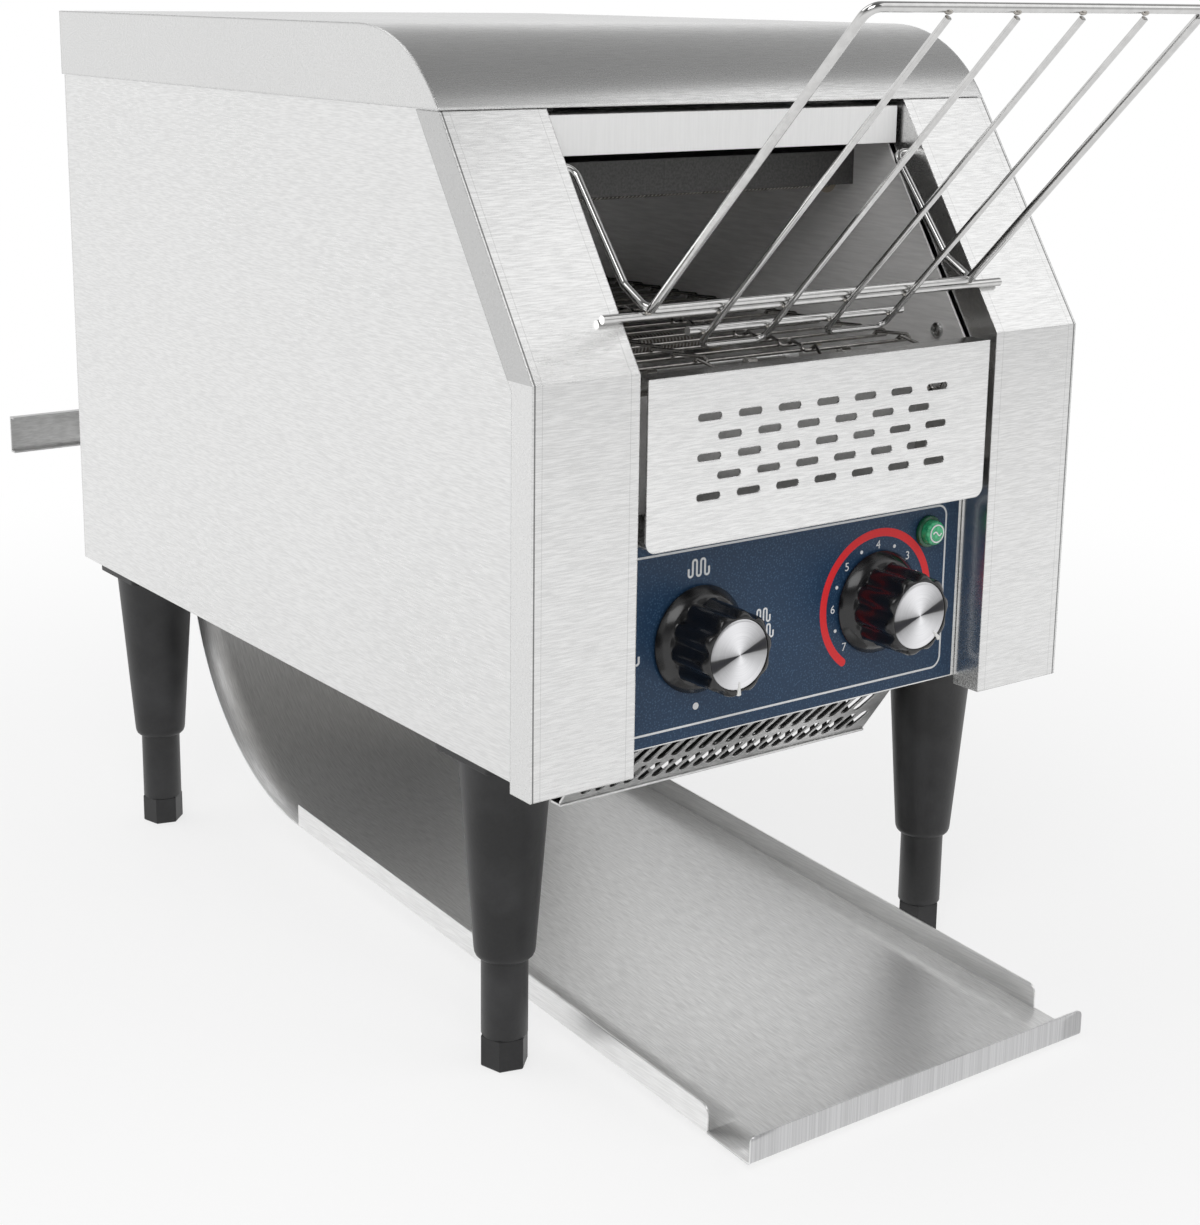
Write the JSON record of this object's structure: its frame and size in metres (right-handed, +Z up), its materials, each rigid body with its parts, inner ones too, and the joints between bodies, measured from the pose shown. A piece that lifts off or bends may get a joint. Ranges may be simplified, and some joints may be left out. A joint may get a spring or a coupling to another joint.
{
  "type": "conveyor toaster",
  "caption": "Countertop conveyor toaster: sloping wire loading rack, wire belt between elements, return slide under the body, two control knobs, lamp and screw-in feet.",
  "frame": {"origin": "centre of the whole part's footprint, wall spacer and rack included, at the height of the table", "axes": "+X to the right seen from the front, +Y to the rear, +Z up"},
  "size_m": [0.288, 0.6218, 0.4343],
  "materials": {
    "casing_steel": "brushed stainless sheet, grain along the casing",
    "inner_steel": "dull stainless sheet, browned by heat",
    "zinc_steel": "bright galvanised or stainless sheet",
    "panel_print": "dark blue fleck with white dials printed on it",
    "polished_wire": "polished stainless wire",
    "belt_steel": "drawn stainless wire and pressed wheels",
    "shaft_steel": "turned steel",
    "chain_steel": "oiled dark steel",
    "bronze": "sintered bronze",
    "motor_grey": "grey enamel",
    "quartz": "satin quartz tube",
    "ceramic": "unglazed ceramic",
    "switch_plastic": "moulded, off-white",
    "board": "circuit board with moulded parts",
    "knob_black": "glossy black moulding",
    "knob_cap": "spun aluminium",
    "lamp_black": "black moulding",
    "lamp_green": "translucent green",
    "leg_black": "black moulded plastic, slightly satin"
  },
  "bodies": {
    "casing": {"side_panel_left": "casing_steel", "side_panel_right": "casing_steel", "top_cover": "casing_steel", "front_column_left": "casing_steel", "front_column_right": "casing_steel", "rear_panel": "casing_steel", "vent_panel": "casing_steel", "header_strip": "casing_steel", "inner_wall_left": "inner_steel", "inner_wall_right": "inner_steel", "upper_reflector": "inner_steel", "lower_reflector": "inner_steel", "vent_shield": "inner_steel", "compartment_shield": "inner_steel", "base_plate": "zinc_steel", "belly_grille": "zinc_steel", "slide_hanger": "zinc_steel", "wall_spacer": "zinc_steel", "belt_rails": "zinc_steel", "control_panel": "panel_print", "wire_belt": "belt_steel", "casing_screws": "shaft_steel", "wall_screws": "shaft_steel", "drive_chain": "chain_steel", "shaft_bearings": "bronze", "gear_motor": "motor_grey", "upper_elements": "quartz", "lower_elements": "quartz", "element_caps": "ceramic", "heat_switch": "switch_plastic", "terminal_block": "switch_plastic", "speed_control": "board", "lamp_body": "lamp_black", "cord_gland": "lamp_black", "lamp_lens": "lamp_green", "leg_sleeve_front_left": "leg_black", "leg_sleeve_front_right": "leg_black", "leg_sleeve_rear_left": "leg_black", "leg_sleeve_rear_right": "leg_black"},
    "heat_dial": {"heat_knob": "knob_black", "heat_knob_cap": "knob_cap", "heat_spindle": "shaft_steel"},
    "speed_dial": {"speed_knob": "knob_black", "speed_knob_cap": "knob_cap", "speed_spindle": "shaft_steel"},
    "loading_rack": {"rack_frame": "polished_wire", "rack_bars": "polished_wire", "rack_tines": "polished_wire"},
    "slide": {"toast_slide": "casing_steel"},
    "front_belt_roller": {"front_shaft": "shaft_steel", "front_belt_wheels": "belt_steel", "chain_wheel": "chain_steel"},
    "rear_belt_roller": {"rear_shaft": "shaft_steel", "rear_belt_wheels": "belt_steel"},
    "motor_output": {"motor_wheel": "chain_steel"},
    "screw_foot_front_left": {"foot_front_left": "leg_black"},
    "screw_foot_front_right": {"foot_front_right": "leg_black"},
    "screw_foot_rear_left": {"foot_rear_left": "leg_black"},
    "screw_foot_rear_right": {"foot_rear_right": "leg_black"}
  },
  "joints": [
    {"name": "heat_dial_turn", "type": "hinge", "parent": "casing", "child": "heat_dial", "pos_m": [-0.0525, -0.18881, 0.183], "axis": [0, 1, 0], "range_deg": [0, 270]},
    {"name": "speed_dial_turn", "type": "hinge", "parent": "casing", "child": "speed_dial", "pos_m": [0.0455, -0.18881, 0.183], "axis": [0, -1, 0], "range_deg": [0, 270]},
    {"name": "rack_lift", "type": "hinge", "parent": "casing", "child": "loading_rack", "pos_m": [0, -0.14659, 0.36925], "axis": [-1, 0, 0], "range_deg": [0, 50]},
    {"name": "slide_lift", "type": "hinge", "parent": "casing", "child": "slide", "pos_m": [0, 0.19229, 0.173], "axis": [-1, 0, 0], "range_deg": [0, 10]},
    {"name": "front_belt_turn", "type": "hinge", "parent": "casing", "child": "front_belt_roller", "pos_m": [0, -0.1581, 0.268], "axis": [-1, 0, 0], "continuous": true},
    {"name": "rear_belt_turn", "type": "hinge", "parent": "casing", "child": "rear_belt_roller", "pos_m": [0, 0.11789, 0.268], "axis": [-1, 0, 0], "continuous": true},
    {"name": "motor_turn", "type": "hinge", "parent": "casing", "child": "motor_output", "pos_m": [0.109, -0.1241, 0.184], "axis": [-1, 0, 0], "continuous": true},
    {"name": "foot_front_left_screw", "type": "slide", "parent": "casing", "child": "screw_foot_front_left", "axis": [0, 0, 1], "range_m": [0, 0.033]},
    {"name": "foot_front_right_screw", "type": "slide", "parent": "casing", "child": "screw_foot_front_right", "axis": [0, 0, 1], "range_m": [0, 0.033]},
    {"name": "foot_rear_left_screw", "type": "slide", "parent": "casing", "child": "screw_foot_rear_left", "axis": [0, 0, 1], "range_m": [0, 0.033]},
    {"name": "foot_rear_right_screw", "type": "slide", "parent": "casing", "child": "screw_foot_rear_right", "axis": [0, 0, 1], "range_m": [0, 0.033]}
  ],
  "couplings": [
    {"joint": "rear_belt_turn", "follows": "front_belt_turn", "ratio": 1},
    {"joint": "motor_turn", "follows": "front_belt_turn", "ratio": 1.6}
  ]
}
